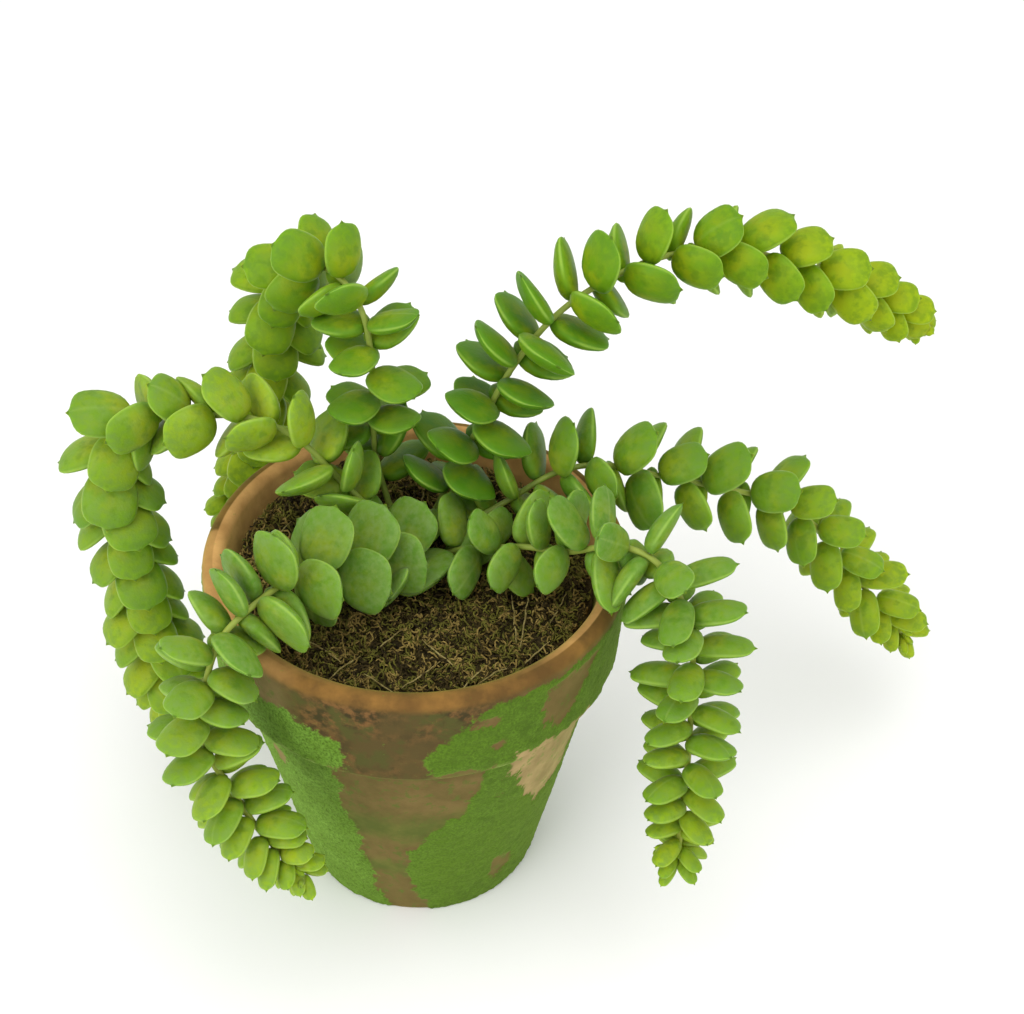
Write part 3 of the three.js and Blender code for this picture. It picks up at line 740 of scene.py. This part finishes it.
def add_leaf(bm, leaf, layers):
    ball = bmesh.ops.create_uvsphere(bm, u_segments=LEAF_CORNERS, v_segments=len(LEAF_RINGS) - 1, radius=1)
    seam = set()
    for vert in ball["verts"]:
        ring = round((1 - math.acos(max(-1, min(1, vert.co.z))) / math.pi) * (len(LEAF_RINGS) - 1))
        along, wide, thick = LEAF_RINGS[ring]
        turn = math.atan2(vert.co.y, vert.co.x)
        across = math.cos(turn) if wide else 0
        through = math.sin(turn) if wide else 0
        if abs(through) < 0.01:
            seam.add(vert)
        vert[layers["along"]] = along
        vert[layers["through"]] = through
        vert[layers["age_and_shade"]] = leaf["age_and_shade"]
        vert[layers["bloom"]] = leaf["bloom"]
        vert[layers["chance"]] = leaf["chance"]
        fullness = thick * (INNER_FACE if through > 0 else OUTER_FACE)
        place = leaf_point(leaf, along, across * wide, through * fullness)
        vert.co = place + 0.16 * wide * noise.noise_vector(place * 0.35)
        if ring == len(LEAF_RINGS) - 1:
            vert[layers["crease_vert"]] = 0.7
    for edge in {edge for vert in seam for edge in vert.link_edges}:
        if edge.verts[0] in seam and edge.verts[1] in seam:
            edge[layers["crease_edge"]] = 0.15


def add_stem_tube(bm, line, layers):
    """A round stem, extruded ring by ring along its line and closed at both ends."""
    ring = bmesh.ops.create_circle(bm, cap_ends=True, segments=STEM_SIDES, radius=STEM_RADIUS)["verts"]
    place, way = line[0]
    turn = Vector((0, 0, 1)).rotation_difference(way).to_matrix().to_4x4()
    bmesh.ops.transform(bm, matrix=Matrix.Translation(place) @ turn, verts=ring)
    faces = {face for vert in ring for face in vert.link_faces}
    stations = line[::8] + [line[-1]]
    radius = STEM_RADIUS
    for vert in ring:
        vert[layers["age_and_shade"]] = 1
    for index, ((before, way_before), (after, way_after)) in enumerate(zip(stations, stations[1:])):
        taper = STEM_TAPER if radius > STEM_LEAST_RADIUS else 1
        radius *= taper
        edges = {edge for vert in ring for edge in vert.link_edges
                 if edge.verts[0] in ring and edge.verts[1] in ring}
        pushed = bmesh.ops.extrude_edge_only(bm, edges=list(edges))["geom"]
        ring = [item for item in pushed if isinstance(item, bmesh.types.BMVert)]
        turn = way_before.rotation_difference(way_after).to_matrix().to_4x4()
        move = Matrix.Translation(after) @ turn @ Matrix.Scale(taper, 4) @ Matrix.Translation(-before)
        bmesh.ops.transform(bm, matrix=move, verts=ring)
        faces |= {item for item in pushed if isinstance(item, bmesh.types.BMFace)}
        for vert in ring:
            vert[layers["age_and_shade"]] = 1 - (index + 1) / (len(stations) - 1)
    faces |= set(bmesh.ops.contextual_create(bm, geom=ring)["faces"])
    for face in faces:
        face.material_index = 1


def waxy_leaf():
    """A thick succulent leaf: smooth wax over clear flesh, yellower in the middle and when young."""
    material, tree = new_material("waxy_leaf")
    place = add_node(tree, "ShaderNodeTexCoord").outputs["Object"]

    def attribute(name):
        return add_node(tree, "ShaderNodeAttribute", attribute_name=name).outputs["Fac"]

    def cloud(size_mm, detail=3):
        inputs = {"Vector": place, "Scale": 1 / (2 * size_mm * MM), "Detail": detail, "Roughness": 0.55}
        return add_node(tree, "ShaderNodeTexNoise", inputs).outputs["Fac"]

    def ranged(value, low, high, new_low=0.0, new_high=1.0):
        inputs = {"Value": value, "From Min": low, "From Max": high, "To Min": new_low, "To Max": new_high}
        return add_node(tree, "ShaderNodeMapRange", inputs).outputs["Result"]

    def maths(operation, first, second=0.0):
        return add_node(tree, "ShaderNodeMath", {0: first, 1: second}, operation=operation).outputs["Value"]

    def blend(factor, first, second):
        inputs = {0: factor, 6: first, 7: second}
        return add_node(tree, "ShaderNodeMix", inputs, data_type="RGBA").outputs[2]

    along, through, age_and_shade, chance = (attribute(name) for name in ("along", "through", "age_and_shade", "chance"))
    patches, blotches, mottle, flecks = cloud(2.6), cloud(1.5, 4), cloud(0.8, 5), cloud(0.3)
    # Lime at the young tip of a stem, deeper green at the pot, and varied leaf by leaf. On some stems
    # the ages also hold painted shade, greener where leaves lie in shade, and painted light where lit.
    varied_age_and_shade = maths("ADD", age_and_shade, ranged(chance, 0, 1, -0.18, 0.18))
    green = blend(ranged(varied_age_and_shade, 0, 0.5), linear("#9cb008"), linear("#769b0c"))
    green = blend(ranged(varied_age_and_shade, 0.5, 1), green, linear("#52820f"))
    green = blend(ranged(varied_age_and_shade, 1, 1.5), green, linear("#3c6c0a"))
    # The flesh shows yellow through the skin, most near the neck and in the middle of each face
    off_seam = maths("ABSOLUTE", through)
    middle = maths("MULTIPLY", ranged(off_seam, 0.1, 0.9, 0.2, 1), ranged(along, 1.0, 0.4))
    middle = maths("MULTIPLY", middle, ranged(patches, 0.4, 0.58, 0.05, 0.8))
    middle = maths("MULTIPLY", middle, ranged(varied_age_and_shade, 0.4, 1.4, 1, 0.5))
    green = blend(middle, green, linear("#95a008"))
    # Darker in blotches and towards the point; a thin pale rim is painted light shining through the edge
    end = maths("MULTIPLY", ranged(along, 0.5, 0.95), ranged(mottle, 0.38, 0.6, 0.1, 0.65))
    dark = maths("MAXIMUM", end, ranged(blotches, 0.5, 0.64, 0.0, 0.5))
    dark = maths("MAXIMUM", dark, ranged(off_seam, 0.55, 0.25, 0.0, 0.25))
    green = blend(dark, green, linear("#4a7508"))
    painted_rim_light = maths("MULTIPLY", ranged(off_seam, 0.2, 0.04), ranged(along, 0.15, 0.4, 0.0, 0.4))
    green = blend(painted_rim_light, green, linear("#a6c158"))
    # A dusty bloom on the stems over the front rim, and a pale crease down the middle of a few faces
    dusting = maths("MULTIPLY", attribute("bloom"), ranged(mottle, 0.36, 0.64, 0.35, 1.1))
    green = blend(dusting, green, linear("#92a868"))
    crease = maths("MULTIPLY", ranged(off_seam, 0.95, 1.0), ranged(chance, 0.75, 0.9, 0.0, 0.2))
    green = blend(crease, green, linear("#a6b966"))
    green = blend(ranged(along, 1.0, 1.03), green, linear("#46601a"))
    relief = maths("ADD", flecks, maths("MULTIPLY", patches, 2.0))
    relief = maths("SUBTRACT", relief, crease)
    bump = add_node(tree, "ShaderNodeBump", {"Height": relief, "Strength": 0.3, "Distance": 0.3 * MM})
    surface = add_node(tree, "ShaderNodeBsdfPrincipled", {
        "Base Color": green, "Roughness": ranged(patches, 0.3, 0.7, 0.4, 0.58),
        "Subsurface Weight": 0.5, "Subsurface Radius": (0.8, 1.0, 0.1), "Subsurface Scale": 3 * MM,
        "Specular IOR Level": 0.12, "Normal": bump.outputs["Normal"],
    })
    add_node(tree, "ShaderNodeOutputMaterial", {"Surface": surface.outputs["BSDF"]})
    return material


def stem_skin():
    """A succulent's green stem: dull and blotched, darker than the leaves at its foot, lime at its tip."""
    material, tree = new_material("stem_skin")
    place = add_node(tree, "ShaderNodeTexCoord").outputs["Object"]
    age_and_shade = add_node(tree, "ShaderNodeAttribute", attribute_name="age_and_shade").outputs["Fac"]
    blotches = add_node(tree, "ShaderNodeTexNoise", {"Vector": place, "Scale": 1 / (3 * MM), "Detail": 4})
    old = add_node(tree, "ShaderNodeMix", {0: blotches.outputs["Fac"], 6: linear("#445f1c"),
                                           7: linear("#7e9434")}, data_type="RGBA")
    young = add_node(tree, "ShaderNodeMix", {0: blotches.outputs["Fac"], 6: linear("#8f9f2a"),
                                             7: linear("#bcc552")}, data_type="RGBA")
    tone = add_node(tree, "ShaderNodeMix", {0: age_and_shade, 6: young.outputs[2], 7: old.outputs[2]},
                    data_type="RGBA")
    bump = add_node(tree, "ShaderNodeBump", {"Height": blotches.outputs["Fac"], "Strength": 0.4,
                                             "Distance": 0.3 * MM})
    surface = add_node(tree, "ShaderNodeBsdfPrincipled", {
        "Base Color": tone.outputs[2], "Roughness": 0.6, "Normal": bump.outputs["Normal"],
    })
    add_node(tree, "ShaderNodeOutputMaterial", {"Surface": surface.outputs["BSDF"]})
    return material


leaf_material = waxy_leaf()
stem_material = stem_skin()
for stem in STEMS:
    stem["line"] = stem_line(stem)
    stem["beads"] = [(place, STEM_RADIUS) for place, _ in stem["line"][::5]]
for stem in STEMS:
    others = [bead for other in STEMS if other is not stem for bead in other["beads"]]
    tree = kdtree.KDTree(len(others))
    for index, (place, _) in enumerate(others):
        tree.insert(place, index)
    tree.balance()
    leaves = set_leaves(stem, (tree, [radius for _, radius in others]))
    stem["beads"] += [bead for leaf in leaves for bead in beads_of(leaf)]
    bm = bmesh.new()
    layers = {name: bm.verts.layers.float.new(name)
              for name in ("along", "through", "age_and_shade", "bloom", "chance", "crease_vert")}
    layers["crease_edge"] = bm.edges.layers.float.new("crease_edge")
    add_stem_tube(bm, stem["line"], layers)
    for leaf in leaves:
        add_leaf(bm, leaf, layers)
    piece = finish_piece("leafy_" + stem["name"], bm, leaf_material, stem_material)
    rounding = piece.modifiers.new("rounding", "SUBSURF")
    rounding.levels = rounding.render_levels = 1
    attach(piece, "root")
    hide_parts(stem["name"])

# The studio
# A plain pale floor under soft light from above, and a camera that looks down at the pot.

FLOOR_SIDE = 6
floor_mesh = bpy.data.meshes.new("floor")
bm = bmesh.new()
bmesh.ops.create_grid(bm, x_segments=1, y_segments=1, size=FLOOR_SIDE / 2)
bm.to_mesh(floor_mesh)
bm.free()
material, tree = new_material("painted_board")
place = add_node(tree, "ShaderNodeTexCoord").outputs["Object"]
shades = add_node(tree, "ShaderNodeTexNoise", {"Vector": place, "Scale": 3.0, "Detail": 2})
tone = add_node(tree, "ShaderNodeMix", {0: shades.outputs["Fac"], 6: linear("#efefec"),
                                        7: linear("#f3f3f1")}, data_type="RGBA")
surface = add_node(tree, "ShaderNodeBsdfPrincipled", {"Base Color": tone.outputs[2], "Roughness": 0.9})
add_node(tree, "ShaderNodeOutputMaterial", {"Surface": surface.outputs["BSDF"]})
floor_mesh.materials.append(material)
floor = bpy.data.objects.new("floor", floor_mesh)
bpy.context.collection.objects.link(floor)

LIGHTS = [  # [name, place, side and power], each aimed at the middle of the plant
    ("light_above", (0.05, -0.3, 1.3), 1.2, 7.5),
    ("light_right", (0.8, -0.9, 0.8), 1.0, 3.2),
    ("light_left", (-0.9, -0.8, 0.7), 1.0, 7.5),
]
PLANT_MIDDLE = Vector((0, 0, 0.08))
for name, place, side, power in LIGHTS:
    light = bpy.data.lights.new(name, "AREA")
    light.shape = "SQUARE"
    light.size = side
    light.energy = power
    lamp = bpy.data.objects.new(name, light)
    lamp.location = place
    lamp.rotation_euler = (PLANT_MIDDLE - lamp.location).to_track_quat("-Z", "Y").to_euler()
    bpy.context.collection.objects.link(lamp)

world = bpy.data.worlds.new("pale_room")
world.use_nodes = True
world.node_tree.nodes.clear()
sky = add_node(world.node_tree, "ShaderNodeBackground", {"Color": linear("#ffffff"), "Strength": 0.85})
add_node(world.node_tree, "ShaderNodeOutputWorld", {"Surface": sky.outputs["Background"]})
bpy.context.scene.world = world
bpy.context.scene.view_settings.view_transform = "Standard"

CAMERA_PLACE = Vector((0, -321.4, 391.1))  # from the foot of the pot's axis
PITCH, YAW, ROLL = (math.radians(angle) for angle in (41.08, 3.99, 1.26))
ahead = Vector((math.sin(YAW) * math.cos(PITCH), math.cos(YAW) * math.cos(PITCH), -math.sin(PITCH)))
camera_data = bpy.data.cameras.new("camera")
camera_data.lens = 65
camera_data.sensor_width = 36
camera = bpy.data.objects.new("camera", camera_data)
upright = ahead.to_track_quat("-Z", "Y")
camera.matrix_world = Matrix.LocRotScale(CAMERA_PLACE * MM + POT_PLACE,
                                         Quaternion(ahead, -ROLL) @ upright, None)
bpy.context.collection.objects.link(camera)
bpy.context.scene.camera = camera

bpy.context.view_layer.update()
